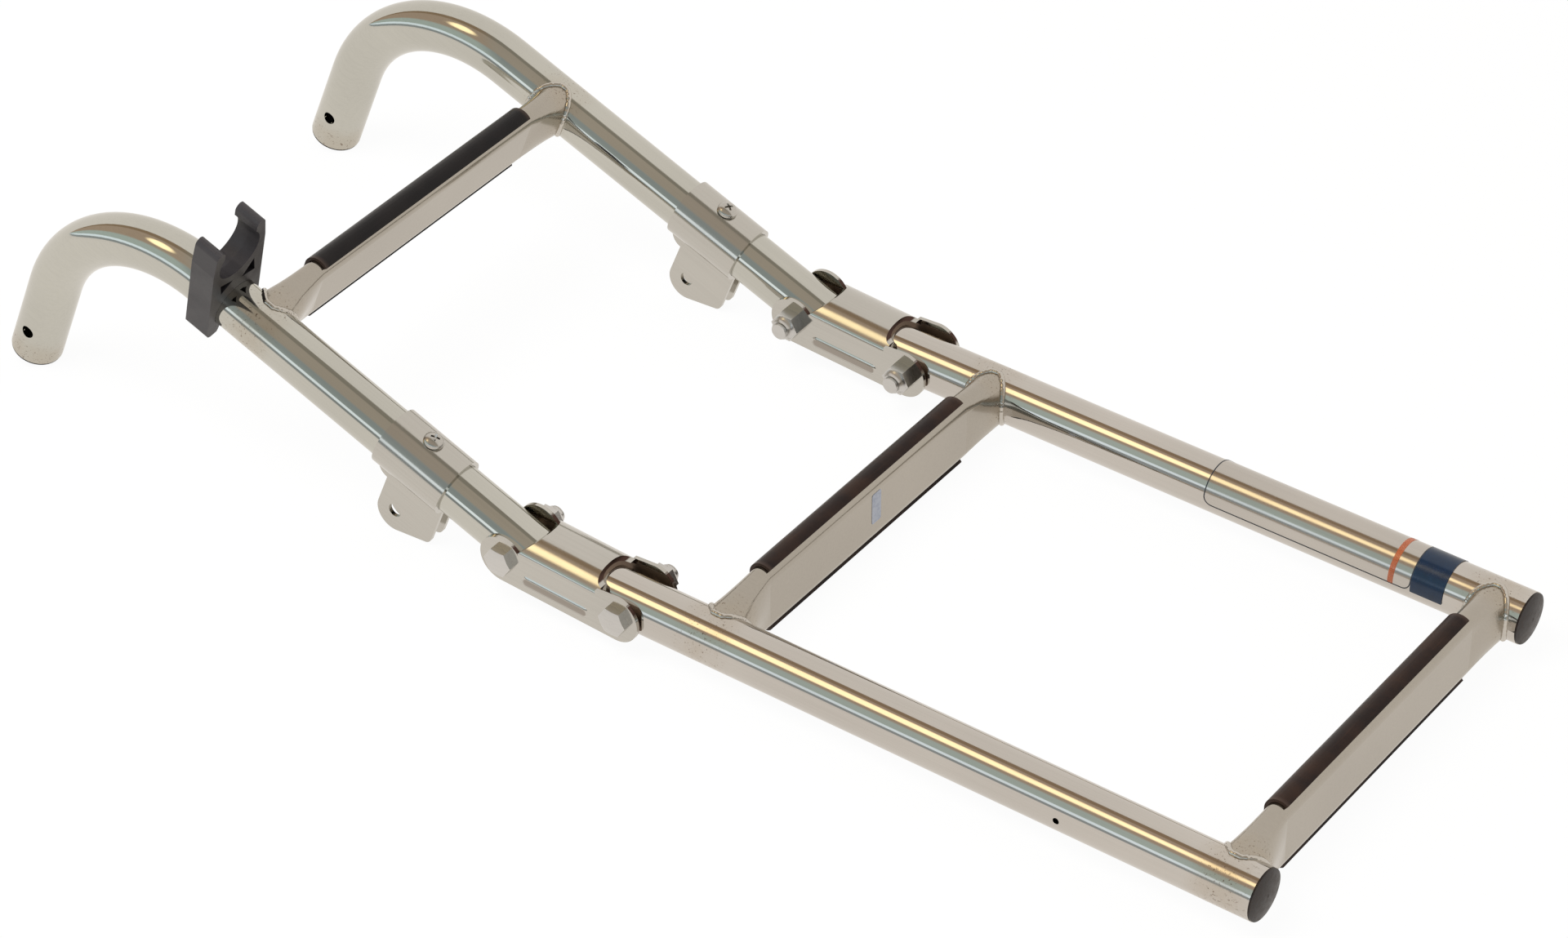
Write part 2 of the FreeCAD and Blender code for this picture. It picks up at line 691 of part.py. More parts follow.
def end_cap(label):
    """Domed cap with a plug that presses into the foot end of the rail."""
    body = new_body(label)
    plug = "(tube_radius - tube_wall - plug_clearance)"
    crown_radius = dome_radius("cap_radius", "cap_crown")
    profile = new_sketch(body, "profile", "XZ_Plane")
    add_path(profile, [
        ("lower_rail_reach - cap_plug_length", "0"),
        ("lower_rail_reach + cap_thickness", "0"),
        ("lower_rail_reach + cap_thickness - cap_crown", "cap_radius", crown_radius, 1),
        ("lower_rail_reach", "cap_radius"),
        ("lower_rail_reach", plug),
        ("lower_rail_reach - cap_plug_length", plug),
    ])
    revolve(body, "Revolution", "cap", profile, "H_Axis")
    return body


def hook_plug(label):
    """Short plug in the hook's tip, with a thin rim under the tube's edge."""
    body = new_body(label)
    plug = "(tube_radius - tube_wall - plug_clearance)"
    profile = new_sketch(body, "profile", "XZ_Plane")
    add_path(profile, [
        ("0", "-hook_leg_drop - plug_rim"),
        ("cap_radius", "-hook_leg_drop - plug_rim"),
        ("cap_radius", "-hook_leg_drop"),
        (plug, "-hook_leg_drop"),
        (plug, "-hook_leg_drop + cap_plug_length"),
        ("0", "-hook_leg_drop + cap_plug_length"),
    ])
    revolve(body, "Revolution", "plug", profile)
    return body


# How the ladder lies: the lower frame flat on the edges of its two rungs, the upper frame on the rounded
# corners of its ears and the tips of its hooks, and the brackets on the line between the two pivots.

corner_reach = value("ear_hook_reach - ear_corner_radius")
corner_drop = value("ear_drop - ear_corner_radius")
tip_reach = value("hook_bend_reach + hook_bend_radius - cap_radius")
tip_drop = value("hook_leg_drop + plug_rim")
ear_to_tip = math.hypot(tip_reach - corner_reach, tip_drop - corner_drop)
upper_slope = (math.atan2(tip_drop - corner_drop, tip_reach - corner_reach)
               - math.asin(value("ear_corner_radius") / ear_to_tip))
upper_height = tip_drop * math.cos(upper_slope) - tip_reach * math.sin(upper_slope)
lower_height = value("rung_depth / 2 + tread_clearance + tread_wall")
bracket_slope = math.asin((upper_height - lower_height) / value("pivot_spacing"))


def section_placement(slope, x, height):
    """The axes of a frame whose pivot lies here and whose rails fall towards the foot at this slope."""
    return FreeCAD.Placement(Vector(x, 0, height), FreeCAD.Rotation(Vector(0, 1, 0), math.degrees(slope)))


UPPER = section_placement(upper_slope, 0, upper_height)
BRACKET = section_placement(bracket_slope, 0, upper_height)
LOWER = section_placement(0, value("pivot_spacing") * math.cos(bracket_slope), lower_height)
HALF_TURN = FreeCAD.Rotation(Vector(1, 0, 0), 180)

pieces = []


def place(piece, section, x=0.0, y=0.0, z=0.0, turn=None):
    local = FreeCAD.Placement(Vector(x, y, z), turn or FreeCAD.Rotation())
    piece.Placement = section.multiply(local)
    pieces.append(piece)


half_spacing = value("rail_spacing / 2")
for side, y in (("left", -half_spacing), ("right", half_spacing)):
    flip = HALF_TURN if side == "right" else None
    place(upper_rail(f"upper_rail_{side}"), UPPER, y=y)
    place(standoff_strap(f"standoff_strap_{side}"), UPPER, y=y)
    place(strap_screw(f"strap_screw_{side}"), UPPER, x=-value("screw_reach"), y=y)
    place(hook_plug(f"hook_plug_{side}"), UPPER, x=-value("hook_bend_reach + hook_bend_radius"), y=y)
    place(hinge_bracket(f"hinge_bracket_{side}"), BRACKET, y=y)
    for pivot, x in (("upper", 0.0), ("lower", value("pivot_spacing"))):
        place(hinge_bolt(f"{pivot}_bolt_{side}"), BRACKET, x=x, y=y, turn=flip)
        place(lock_nut(f"{pivot}_nut_{side}"), BRACKET, x=x, y=y, turn=flip)
    place(lower_rail(f"lower_rail_{side}"), LOWER, y=y, turn=flip)
    place(end_cap(f"end_cap_{side}"), LOWER, y=y)

place(stowage_clip("stowage_clip"), UPPER, x=-value("clip_reach"), y=-half_spacing,
      turn=FreeCAD.Rotation(Vector(1, 0, 0), value("clip_lean")))
for level, section, reach in (("top", UPPER, "-top_rung_reach"), ("middle", LOWER, "middle_rung_reach"),
                              ("bottom", LOWER, "lower_rail_reach - bottom_rung_inset")):
    place(rung(f"{level}_rung"), section, x=value(reach))
    place(tread(f"{level}_tread"), section, x=value(reach))

document.recompute()

# The origin moves to the bottom centre of the whole ladder.
whole = FreeCAD.BoundBox()
for piece in pieces:
    whole.add(piece.Shape.BoundBox)
origin = Vector((whole.XMin + whole.XMax) / 2, (whole.YMin + whole.YMax) / 2, whole.ZMin)
for piece in pieces:
    piece.Placement.Base = piece.Placement.Base - origin
document.recompute()

for item in document.Objects:
    if "Invalid" in item.State or "Error" in item.State:
        raise RuntimeError(f"{item.Label} did not rebuild: {item.State}")
for piece in pieces:
    if piece.Shape.isNull() or not piece.Shape.isValid() or not piece.Shape.Solids:
        raise RuntimeError(f"{piece.Label} has no valid solid")

os.makedirs("parts", exist_ok=True)
for piece in pieces:
    piece.Shape.exportStep(f"parts/{piece.Label}.step")
print(f"origin {origin.x:.3f} {origin.y:.3f} {origin.z:.3f}, slopes {math.degrees(upper_slope):.3f} "
      f"{math.degrees(bracket_slope):.3f}, heights {upper_height:.3f} {lower_height:.3f}, dip {stow_dip:.3f}")
print(f"{len(pieces)} pieces, {whole.XLength:.1f} x {whole.YLength:.1f} x {whole.ZLength:.1f} mm")
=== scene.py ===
import bpy
import json
import math
from mathutils import Matrix, Vector


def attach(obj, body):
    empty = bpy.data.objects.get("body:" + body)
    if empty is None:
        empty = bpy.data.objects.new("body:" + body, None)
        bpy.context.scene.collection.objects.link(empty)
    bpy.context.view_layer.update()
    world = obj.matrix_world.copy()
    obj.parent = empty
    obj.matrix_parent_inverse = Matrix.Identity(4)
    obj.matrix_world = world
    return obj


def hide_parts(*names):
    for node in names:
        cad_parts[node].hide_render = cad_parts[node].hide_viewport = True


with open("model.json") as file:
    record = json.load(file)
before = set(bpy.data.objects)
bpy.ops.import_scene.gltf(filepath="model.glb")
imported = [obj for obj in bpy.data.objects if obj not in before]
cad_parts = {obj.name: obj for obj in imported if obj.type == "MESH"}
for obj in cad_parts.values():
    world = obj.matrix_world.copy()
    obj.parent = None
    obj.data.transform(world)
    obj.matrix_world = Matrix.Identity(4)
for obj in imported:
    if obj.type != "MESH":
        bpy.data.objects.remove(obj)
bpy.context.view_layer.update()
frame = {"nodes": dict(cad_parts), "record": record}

# Camera. The ladder lies across the picture, seen from its near left side and from above through a long
# lens, so that the near rail runs from the left edge to the bottom right corner.
IMAGE_WIDTH = 1920
SENSOR_WIDTH = 36.0
FOCAL_PIXELS = 6408.38
CAMERA_AZIMUTH = math.radians(35.7523)
CAMERA_ELEVATION = math.radians(37.9181)
CAMERA_ROLL = math.radians(0.1368)
CAMERA_PLACE = Vector((1.1358869, -1.5441118, 1.5094077))
UP = Vector((0, 0, 1))


def new_object(name, data):
    """An object for this mesh, lamp or camera, put into the scene."""
    made = bpy.data.objects.new(name, data)
    bpy.context.scene.collection.objects.link(made)
    return made


back = Vector((math.sin(CAMERA_AZIMUTH) * math.cos(CAMERA_ELEVATION),
               -math.cos(CAMERA_AZIMUTH) * math.cos(CAMERA_ELEVATION),
               math.sin(CAMERA_ELEVATION)))
level_right = UP.cross(back).normalized()
level_up = back.cross(level_right)
camera_right = math.cos(CAMERA_ROLL) * level_right + math.sin(CAMERA_ROLL) * level_up
camera_up = back.cross(camera_right)
camera_data = bpy.data.cameras.new("photo_camera")
camera_data.sensor_width = SENSOR_WIDTH
camera_data.lens = SENSOR_WIDTH * FOCAL_PIXELS / IMAGE_WIDTH
camera = new_object("photo_camera", camera_data)
axes = Matrix((camera_right, camera_up, back)).transposed().to_4x4()
camera.matrix_world = Matrix.Translation(CAMERA_PLACE) @ axes
bpy.context.scene.camera = camera


# Studio. Polished tube shows the room it lies in: a pale cove below and behind, a dim brown ceiling over
# it, a window low down in front, and one warm lamp. The camera sees plain white behind the ladder, and a
# softbox overhead, which the tubes don't mirror, gives the shadow.
class Signal:
    """A number, colour or vector that varies over a surface or along a curve."""

    def __init__(self, builder, socket):
        self.builder = builder
        self.socket = socket

    def maths(self, operation, *others):
        return self.builder.node("ShaderNodeMath", self, *others, settings={"operation": operation})

    def __add__(self, other):
        return self.maths("ADD", other)

    __radd__ = __add__

    def __sub__(self, other):
        return self.maths("SUBTRACT", other)

    def __rsub__(self, other):
        return self.builder.node("ShaderNodeMath", other, self, settings={"operation": "SUBTRACT"})

    def __mul__(self, other):
        return self.maths("MULTIPLY", other)

    def __truediv__(self, other):
        return self.maths("DIVIDE", other)

    def ramp(self, low, high):
        """Goes smoothly from 0 where this is low to 1 where it is high."""
        settings = {"interpolation_type": "SMOOTHSTEP", "clamp": True}
        return self.builder.node("ShaderNodeMapRange", self, low, high, 0.0, 1.0, settings=settings)


class NodeBuilder:
    """Adds nodes to the tree of a material, of the world or of a Geometry Nodes group."""

    # The Mix node also has sockets that mix numbers and vectors: these are the ones for colours.
    MIX_SOCKETS = (0, 6, 7)
    MIX_OUTPUT = 2

    def __init__(self, tree):
        self.tree = tree
        self.tree.nodes.clear()

    def feed(self, socket, given):
        if isinstance(given, Signal):
            self.tree.links.new(given.socket, socket)
        else:
            socket.default_value = given

    def node(self, kind, *inputs, settings=None, output=0, **named):
        """A node fed with these inputs, in order or by name. Gives the output that is asked for."""
        made = self.tree.nodes.new(kind)
        for name, setting in (settings or {}).items():
            setattr(made, name, setting)
        for place, given in enumerate(inputs):
            self.feed(made.inputs[place], given)
        for name, given in named.items():
            self.feed(made.inputs[name.replace("_", " ")], given)
        return Signal(self, made.outputs[output]) if made.outputs else None

    def blend(self, factor, first, second):
        """The first colour where the factor is 0, the second where it is 1."""
        made = self.tree.nodes.new("ShaderNodeMix")
        made.data_type = "RGBA"
        for place, given in zip(self.MIX_SOCKETS, (factor, first, second)):
            self.feed(made.inputs[place], (*given, 1) if isinstance(given, tuple) else given)
        return Signal(self, made.outputs[self.MIX_OUTPUT])

    def part(self, vector, axis):
        return self.node("ShaderNodeSeparateXYZ", vector, output=axis)


# Each band of the room starts at this many degrees, counted round the rails' axis from the level behind the
# ladder. Then come its softness and its colours, at the hooks' end, which the lamp warms, and at the foot's.
WHITE = (1, 1, 1)
COVE_COLOUR = (0.88, 0.84, 0.795)
ROOM_BANDS = [
    (84, 1.5, (0.33, 0.236, 0.152), (0.308, 0.282, 0.235)),
    (97, 2.0, (0.49, 0.38, 0.29), (0.463, 0.407, 0.341)),
    (136, 5.0, (0.51, 0.60, 0.57), (0.34, 0.385, 0.39)),
    (159.5, 1.0, (1.0, 1.15, 1.25), (1.2, 1.3, 1.38)),
    (169, 1.0, (0.36, 0.395, 0.41), (0.22, 0.235, 0.225)),
    (178, 1.0, COVE_COLOUR, COVE_COLOUR),
]
HOOKS_END = -0.38
FOOT_END = -0.05
LAMP_DIRECTION = Vector((-0.463, -0.383, 0.799)).normalized()
LAMP_EDGE = (0.982, 0.996)
LAMP_COLOUR = (2.2, 1.8, 1.1)

world = bpy.data.worlds.new("studio")
world.use_nodes = True
bpy.context.scene.world = world
sky = NodeBuilder(world.node_tree)
outlook = sky.node("ShaderNodeTexCoord", output="Generated")
degrees_round = sky.part(outlook, 2).maths("ARCTAN2", sky.part(outlook, 1)) * math.degrees(1)
greyness = sky.part(outlook, 0).ramp(HOOKS_END, FOOT_END)
room = COVE_COLOUR
for start, softness, warm, grey in ROOM_BANDS:
    begun = degrees_round.ramp(start - softness, start + softness)
    room = sky.blend(begun, room, sky.blend(greyness, warm, grey))
lamp_nearness = sky.node("ShaderNodeVectorMath", outlook, tuple(LAMP_DIRECTION),
                         settings={"operation": "DOT_PRODUCT"}, output="Value")
room = sky.blend(lamp_nearness.ramp(*LAMP_EDGE), room, LAMP_COLOUR)
seen_by_camera = sky.node("ShaderNodeLightPath", output="Is Camera Ray")
shown = sky.node("ShaderNodeBackground", sky.blend(seen_by_camera, room, WHITE), 1.0)
sky.node("ShaderNodeOutputWorld", shown)


def new_mesh(name, points, faces=(), edges=()):
    mesh = bpy.data.meshes.new(name)
    mesh.from_pydata(points, edges, faces)
    return mesh


def new_material(name):
    """A material, and a builder for its empty tree."""
    material = bpy.data.materials.new(name)
    material.use_nodes = True
    return material, NodeBuilder(material.node_tree)


FLOOR_HALF = 6.0
PAPER_COLOUR = (0.9, 0.9, 0.9, 1)
PAPER_GLOW = 0.95
floor_corners = [(across * FLOOR_HALF, along * FLOOR_HALF, 0)
                 for across, along in ((-1, -1), (1, -1), (1, 1), (-1, 1))]
floor = new_object("floor", new_mesh("floor", floor_corners, [(0, 1, 2, 3)]))
floor_material, paper = new_material("floor_paper")
matt = paper.node("ShaderNodeBsdfDiffuse", PAPER_COLOUR)
paper_seen = paper.node("ShaderNodeLightPath", output="Is Camera Ray")
glow = paper.node("ShaderNodeEmission", paper.blend(paper_seen, COVE_COLOUR, WHITE), 1.0)
paper.node("ShaderNodeOutputMaterial", paper.node("ShaderNodeMixShader", PAPER_GLOW, matt, glow))
floor.data.materials.append(floor_material)

SOFTBOX_PLACE = Vector((-0.5, -0.9, 2.2))
SOFTBOX_SIZE = 1.6
SOFTBOX_WATTS = 45
softbox_data = bpy.data.lights.new("softbox", "AREA")
softbox_data.shape = "DISK"
softbox_data.size = SOFTBOX_SIZE
softbox_data.energy = SOFTBOX_WATTS
softbox = new_object("softbox", softbox_data)
softbox.location = SOFTBOX_PLACE
softbox.rotation_mode = "QUATERNION"
softbox.rotation_quaternion = SOFTBOX_PLACE.to_track_quat("Z", "Y")
softbox.visible_glossy = False
bpy.context.scene.view_settings.view_transform = "Standard"


# Upper rails. Two stainless tubes, 25.4 mm across, buffed bright and bent over at one end into hooks. Sizes
# are in millimetres from the hinge pivot, along the rails and square to them, as on a maker's drawing.
MM = 0.001
SIDES = {"left": -1, "right": 1}
RAIL_HALF_SPACING = 112.5
UPPER_SLOPE = math.radians(21.042)
HOOK_REACH = 271.2
HOOK_TIP_DROP = 122.5
TOP_RUNG_REACH = -161.4
UPPER_TUBE_COLOUR = (0.60, 0.59, 0.535)
TUBE_DULLNESS = 0.055
TUBE_LINE_DEPTH = 0.02
TUBE_STAIN_REACH = 22.0
pivots = {joint["name"]: Vector(joint["pos_m"]) for joint in frame["record"]["behaviour"]["joints"]}
upper_place = Matrix.Translation(pivots["upper_hinge"]) @ Matrix.Rotation(UPPER_SLOPE, 4, "Y")


def frame_point(section, reach, across, rise):
    """A point of the upper or lower section, from its millimetres along, across and square to the rails."""
    return section @ (Vector((reach, across, rise)) * MM)


def weld_points(section, reaches):
    """Where the rungs at these reaches meet the section's two rails."""
    return [tuple(frame_point(section, reach, side * RAIL_HALF_SPACING, 0))
            for reach in reaches for side in SIDES.values()]


def new_shader(name):
    """A material, a builder for its tree, and the piece's own coordinates."""
    material, shader = new_material(name)
    return material, shader, shader.node("ShaderNodeTexCoord", output="Object")


def noise(shader, place, per_metre, detail, roughness=0.6):
    return shader.node("ShaderNodeTexNoise", place, Scale=per_metre, Detail=detail, Roughness=roughness)


def streaks(shader, place, size, detail, roughness=0.6, slope=0.0):
    """Noise drawn out to this size, in metres, along axes that slope with the piece."""
    drawn = shader.node("ShaderNodeMapping", place, Rotation=(0, slope, 0), Scale=size,
                        settings={"vector_type": "TEXTURE"})
    return noise(shader, drawn, 1.0, detail, roughness)


def finish_surface(shader, shade, roughness, relief, relief_strength, relief_height=0.2, **kept):
    """Ends a material's tree: this shade and roughness, and a fine relief, its height in millimetres."""
    skin = shader.node("ShaderNodeBump", Strength=relief_strength, Distance=relief_height * MM,
                       Height=relief)
    surface = shader.node("ShaderNodeBsdfPrincipled", Base_Color=shade, Roughness=roughness, Normal=skin,
                          **kept)
    shader.node("ShaderNodeOutputMaterial", surface)


BUFFING_LINE_SIZE = (0.09, 0.0012, 0.0012)
CLOUD_SHADE = 0.9
STAIN_CORE = 0.55
STAIN_COLOUR = (0.46, 0.38, 0.28)
STAIN_STRENGTH = 0.35
RUST_COLOUR = (0.13, 0.075, 0.04)
RUST_STRENGTH = 0.8


def steel_finish(name, slope, colour, dullness, line_depth, stains=(), stain_reach=0.0, marks=None):
    """Buffed stainless: cloudy finger smudges, fine lines left along the piece by the buffing wheel, and
    brown specks as far as stain_reach round each place in stains. Marks adds what one piece alone has."""
    material, shader, place = new_shader(name)
    smudge = noise(shader, place, per_metre=38.0, detail=4.0)
    cloud = noise(shader, place, per_metre=11.0, detail=2.0, roughness=0.5)
    lines = streaks(shader, place, BUFFING_LINE_SIZE, detail=3.0, roughness=0.65, slope=slope)
    scuffs = lines.ramp(0.62, 0.78) * smudge.ramp(0.45, 0.7)
    clouded = tuple(part * CLOUD_SHADE for part in colour)
    shade = shader.blend(cloud.ramp(0.3, 0.7) * 0.6 + lines.ramp(0.35, 0.75) * 0.4, colour, clouded)
    roughness = smudge.ramp(0.4, 0.8) * 0.05 + scuffs * 0.08 + dullness
    if stains:
        nearness = 0.0
        for centre in stains:
            away = shader.node("ShaderNodeVectorMath", place, centre, settings={"operation": "DISTANCE"},
                               output="Value")
            nearness = 1 - away.ramp(stain_reach * MM * STAIN_CORE, stain_reach * MM) + nearness
        specks = noise(shader, place, per_metre=820.0, detail=3.0, roughness=0.7)
        tint = nearness * smudge.ramp(0.3, 0.6)
        rust = nearness * specks.ramp(0.59, 0.68)
        shade = shader.blend(tint * STAIN_STRENGTH, shade, STAIN_COLOUR)
        shade = shader.blend(rust * RUST_STRENGTH, shade, RUST_COLOUR)
        roughness = roughness + tint * 0.06 + rust * 0.25
    if marks:
        shade, roughness = marks(shader, place, shade, roughness)
    finish_surface(shader, shade, roughness, lines, line_depth, Metallic=1.0)
    return material


def dress(material, *names):
    """Gives the frame's own pieces this finish."""
    for name in names:
        mesh = frame["nodes"][name].data
        mesh.materials.clear()
        mesh.materials.append(material)


hook_tips = [tuple(frame_point(upper_place, -HOOK_REACH, side * RAIL_HALF_SPACING, -HOOK_TIP_DROP))
             for side in SIDES.values()]
upper_tube = steel_finish("upper_tube_steel", UPPER_SLOPE, UPPER_TUBE_COLOUR, TUBE_DULLNESS, TUBE_LINE_DEPTH,
                          weld_points(upper_place, [TOP_RUNG_REACH]) + hook_tips, TUBE_STAIN_REACH)
dress(upper_tube, "upper_rail_left", "upper_rail_right")


# Lower rails. Straight lengths of the same tube, drilled near the foot with a small drain hole. They are
# welded to two rungs, and brown specks of surface rust have gathered round those welds.
MIDDLE_RUNG_REACH = 44.0
BOTTOM_RUNG_REACH = 314.6
LOWER_TUBE_COLOUR = (0.62, 0.585, 0.54)
lower_place = Matrix.Translation(pivots["lower_hinge"])
lower_welds = weld_points(lower_place, [MIDDLE_RUNG_REACH, BOTTOM_RUNG_REACH])
lower_tube = steel_finish("lower_tube_steel", 0.0, LOWER_TUBE_COLOUR, TUBE_DULLNESS, TUBE_LINE_DEPTH,
                          lower_welds, TUBE_STAIN_REACH)
dress(lower_tube, "lower_rail_left", "lower_rail_right")


# Rungs and their welds. Each rung is round tube pressed flat over its middle, which leaves it duller than
# the rails. Its colour is darker than theirs, partly for that duller finish and partly as painted shade for
# the darker room its flats reflect. Its coped ends are welded to the rails with a rippled bead that runs all
# the way round.
TUBE_RADIUS = 12.7
RUNG_FLAT_HALF = 78.0
RUNG_END = 110.5
RUNG_THICKNESS = 11.0
RUNG_DEPTH = 34.0
# Darker than the rails' steel: partly a duller finish, partly painted shade.
RUNG_SHADED_COLOUR = (0.46, 0.425, 0.37)
RUNG_DULLNESS = 0.16
RUNG_LINE_DEPTH = 0.04
RUNG_STAIN_REACH = 26.0
rung_steel = steel_finish("rung_steel", 0.0, RUNG_SHADED_COLOUR, RUNG_DULLNESS, RUNG_LINE_DEPTH,
                          weld_points(upper_place, [TOP_RUNG_REACH]) + lower_welds, RUNG_STAIN_REACH)
dress(rung_steel, "top_rung", "middle_rung", "bottom_rung")


def rung_outline(quarters, spread):
    """A point of the rung's outline, this many quarters of the way round from the middle of its top edge.
    Spread goes from 0 on the flat to 1 where the tube is round."""
    end_radius = RUNG_THICKNESS / 2
    half_straight = RUNG_DEPTH / 2 - end_radius
    corner = 45 * RUNG_THICKNESS / TUBE_RADIUS
    quarter, step = divmod(quarters, 1)
    share = 1 - step if quarter in (1, 3) else step
    if share < 0.5:
        bend = math.radians(180 * share)
        flat = Vector((end_radius * math.sin(bend), half_straight + end_radius * math.cos(bend)))
        sweep = math.radians(corner * share * 2)
    else:
        flat = Vector((end_radius, half_straight * (2 - 2 * share)))
        sweep = math.radians(corner + (90 - corner) * (share * 2 - 1))
    point = flat.lerp(Vector((math.sin(sweep), math.cos(sweep))) * TUBE_RADIUS, spread)
    return Vector((point.x if quarter < 2 else -point.x, point.y if quarter in (0, 3) else -point.y))


COPE_POINTS = 160
COPE_PASSES = 12


def cope_line(section, reach, side):
    """The closed line on which a rung meets a rail's wall. Each pass brings a point nearer to the wall."""
    line = []
    for index in range(COPE_POINTS):
        inboard = RUNG_END
        for _ in range(COPE_PASSES):
            spread = (inboard - RUNG_FLAT_HALF) / (RUNG_END - RUNG_FLAT_HALF)
            outline = rung_outline(4 * index / COPE_POINTS, spread)
            depth = math.sqrt(max(TUBE_RADIUS ** 2 - outline.y ** 2, 0.0))
            inboard = min(RAIL_HALF_SPACING - depth, RUNG_END)
        line.append(frame_point(section, reach + outline.x, side * inboard, outline.y))
    return line


def new_tree(name, inputs, output):
    """An empty Geometry Nodes tree. Returns it with its builder and its inputs, in the order given."""
    tree = bpy.data.node_groups.new(name, "GeometryNodeTree")
    for input_name, kind in inputs.items():
        tree.interface.new_socket(input_name, in_out="INPUT", socket_type=f"NodeSocket{kind}")
    tree.interface.new_socket(output, in_out="OUTPUT", socket_type="NodeSocketGeometry")
    maker = NodeBuilder(tree)
    given = tree.nodes.new("NodeGroupInput")
    return tree, maker, [Signal(maker, socket) for socket in given.outputs[:len(inputs)]]


def end_tree(maker, shape, finish):
    """Every tree ends alike: real copies, all with the same finish."""
    shape = maker.node("GeometryNodeRealizeInstances", shape)
    shape = maker.node("GeometryNodeSetMaterial", shape, Material=finish)
    maker.node("NodeGroupOutput", shape)


BEAD_SIDES = 10
BEAD_LUMPS_PER_METRE = 420.0
BEAD_LUMP_SHARE = 0.5


def bead_tree():
    """Geometry Nodes: sweeps a round bead along a line, its thickness rippling as a welder's does."""
    tree, maker, (line, radius, pitch, depth, step, finish) = new_tree(
        "weld_bead", {"Line": "Geometry", "Bead Radius": "Float", "Ripple Pitch": "Float",
                      "Ripple Depth": "Float", "Step": "Float", "Finish": "Material"}, "Bead")
    path = maker.node("GeometryNodeMeshToCurve", line)
    path = maker.node("GeometryNodeResampleCurve", path, Length=step, settings={"mode": "LENGTH"})
    travelled = maker.node("GeometryNodeSplineParameter", output="Length")
    wave = (travelled * math.pi / pitch).maths("SINE")
    lumps = maker.node("ShaderNodeTexNoise", Scale=BEAD_LUMPS_PER_METRE, Detail=1.0)
    swell = radius * (1 - depth * wave * wave) * (lumps * BEAD_LUMP_SHARE + (1 - BEAD_LUMP_SHARE / 2))
    outline = maker.node("GeometryNodeCurvePrimitiveCircle", Resolution=BEAD_SIDES, Radius=1.0)
    bead = maker.node("GeometryNodeCurveToMesh", path, outline, Scale=swell, Fill_Caps=True)
    end_tree(maker, maker.node("GeometryNodeSetShadeSmooth", bead), finish)
    return tree


def made_mesh(piece):
    """A plain mesh of what the object's modifiers make."""
    return bpy.data.meshes.new_from_object(piece.evaluated_get(bpy.context.evaluated_depsgraph_get()))


def run_tree(name, mesh, tree, sizes):
    """A plain mesh piece: what the tree makes of this mesh with these sizes."""
    piece = new_object(name, mesh)
    modifier = piece.modifiers.new("maker", "NODES")
    modifier.node_group = tree
    identifiers = {item.name: item.identifier for item in tree.interface.items_tree}
    for size_name, size in sizes.items():
        modifier[identifiers[size_name]] = size
    piece.update_tag()
    result = made_mesh(piece)
    piece.modifiers.clear()
    piece.data = result
    return piece


def line_mesh(name, lines, closed):
    """Chains of edges through the points of each line."""
    points, edges = [], []
    for line in lines:
        first = len(points)
        points.extend(line)
        edges.extend((first + index, first + index + 1) for index in range(len(line) - 1))
        if closed:
            edges.append((len(points) - 1, first))
    return new_mesh(name, points, edges=edges)


WELD_COLOUR = (0.60, 0.565, 0.51)
WELD_DULLNESS = 0.10
WELD_SIZES = {"Bead Radius": 1.5 * MM, "Ripple Pitch": 2.2 * MM, "Ripple Depth": 0.06, "Step": 0.3 * MM}
FINE_LINE_DEPTH = 0.05
bead_maker = bead_tree()
weld_steel = steel_finish("weld_steel", 0.0, WELD_COLOUR, WELD_DULLNESS, FINE_LINE_DEPTH)
for body, section, reaches in (("upper_frame", upper_place, [TOP_RUNG_REACH]),
                               ("lower_frame", lower_place, [MIDDLE_RUNG_REACH, BOTTOM_RUNG_REACH])):
    copes = [cope_line(section, reach, side) for reach in reaches for side in SIDES.values()]
    welds = run_tree(f"weld_beads_{body}", line_mesh("cope_lines", copes, True), bead_maker,
                     {**WELD_SIZES, "Finish": weld_steel})
    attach(welds, body)


# Treads. Each flattened rung carries an extruded rubber cover that wraps both its edges. The side that faces
# the foot is bare rung. The side that is stepped on has shallow ribs, and the last 3 mm at each cut end are
# mixed half way to a paler brown.
TREAD_HALF_LENGTH = 76.5
TREAD_END_LENGTH = 3.0
TREAD_END_COLOUR = (0.07, 0.045, 0.035)
DUST_COLOUR = (0.10, 0.08, 0.065)
RUBBER_STREAK_SIZE = (0.0011, 0.03, 0.0011)
RUBBER_STREAK_SHADE = 2.2
RUBBER_SHEEN = 0.2
TOP_RUBBER = {"dark": (0.005, 0.004, 0.0045), "worn": (0.009, 0.007, 0.007), "dullness": 0.26}
LOWER_RUBBER = {"dark": (0.008, 0.003, 0.0025), "worn": (0.026, 0.011, 0.006), "dullness": 0.30}


